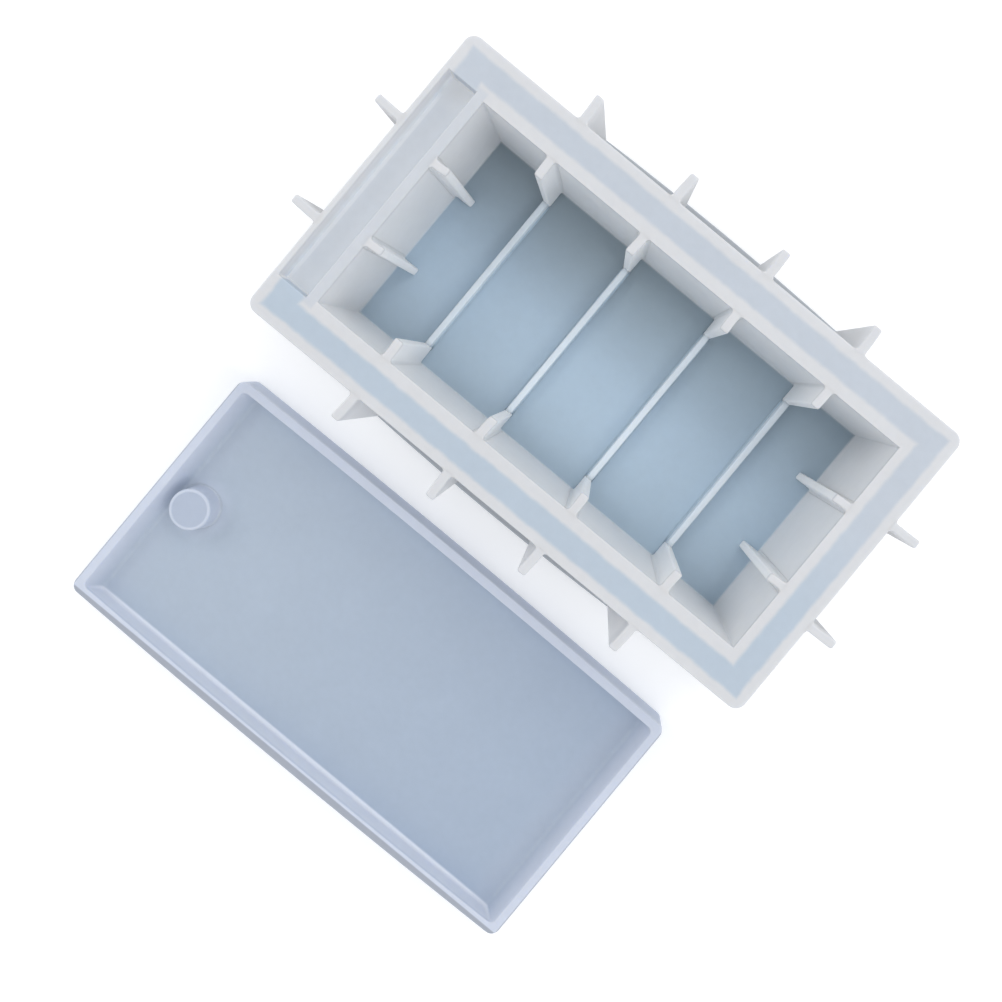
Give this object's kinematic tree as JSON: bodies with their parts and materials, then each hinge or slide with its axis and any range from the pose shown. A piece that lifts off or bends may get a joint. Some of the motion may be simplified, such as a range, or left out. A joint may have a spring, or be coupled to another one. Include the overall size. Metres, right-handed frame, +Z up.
{
  "type": "silicone casting mould set",
  "caption": "Two-piece translucent silicone mould set for casting a rectangular box and its sliding lid: ribbed box mould with hollow core, and a shallow lid mould with a finger-hole boss.",
  "frame": {"origin": "on the surface that both mouldings stand on, at the centre of the set's bounding box seen from above", "axes": "+Z up; +X along both mouldings' length, away from the end where the lid slides in; +Y from the lid mould to the box mould"},
  "size_m": [0.2252, 0.2576, 0.06],
  "materials": {
    "box_silicone": "satin",
    "thin_skin_silicone": "satin",
    "lid_silicone": "satin"
  },
  "bodies": {
    "box_mould": {"channel_floor_back": "thin_skin_silicone", "channel_floor_left": "thin_skin_silicone", "channel_floor_right": "thin_skin_silicone", "core_gusset_left_1": "box_silicone", "core_gusset_left_2": "box_silicone", "core_gusset_left_3": "box_silicone", "core_gusset_left_4": "box_silicone", "core_gusset_right_1": "box_silicone", "core_gusset_right_2": "box_silicone", "core_gusset_right_3": "box_silicone", "core_gusset_right_4": "box_silicone", "core_plate": "thin_skin_silicone", "core_rib_back_1": "box_silicone", "core_rib_back_2": "box_silicone", "core_rib_front_1": "box_silicone", "core_rib_front_2": "box_silicone", "core_wall_back": "box_silicone", "core_wall_front": "box_silicone", "core_wall_left": "box_silicone", "core_wall_right": "box_silicone", "cross_rib_1": "box_silicone", "cross_rib_2": "box_silicone", "cross_rib_3": "box_silicone", "cross_rib_4": "box_silicone", "dovetail_ridge_left": "box_silicone", "dovetail_ridge_right": "box_silicone", "lid_notch_floor": "thin_skin_silicone", "lid_notch_wall_left": "thin_skin_silicone", "lid_notch_wall_right": "thin_skin_silicone", "outer_rib_back_1": "box_silicone", "outer_rib_back_2": "box_silicone", "outer_rib_front_1": "box_silicone", "outer_rib_front_2": "box_silicone", "outer_rib_left_1": "box_silicone", "outer_rib_left_2": "box_silicone", "outer_rib_left_3": "box_silicone", "outer_rib_left_4": "box_silicone", "outer_rib_right_1": "box_silicone", "outer_rib_right_2": "box_silicone", "outer_rib_right_3": "box_silicone", "outer_rib_right_4": "box_silicone", "outer_wall_back": "box_silicone", "outer_wall_front": "box_silicone", "outer_wall_left": "box_silicone", "outer_wall_right": "box_silicone", "rim_flange_back": "box_silicone", "rim_flange_front": "box_silicone", "rim_flange_left": "box_silicone", "rim_flange_right": "box_silicone"},
    "lid_mould": {"finger_hole_boss": "lid_silicone", "lid_floor": "lid_silicone", "lid_wall_back": "lid_silicone", "lid_wall_front": "lid_silicone", "lid_wall_left": "lid_silicone", "lid_wall_right": "lid_silicone"}
  },
  "joints": [
    {"name": "lid_mould_lift", "type": "slide", "parent": "box_mould", "child": "lid_mould", "axis": [0, 0, 1], "range_m": [0, 0.12]}
  ]
}
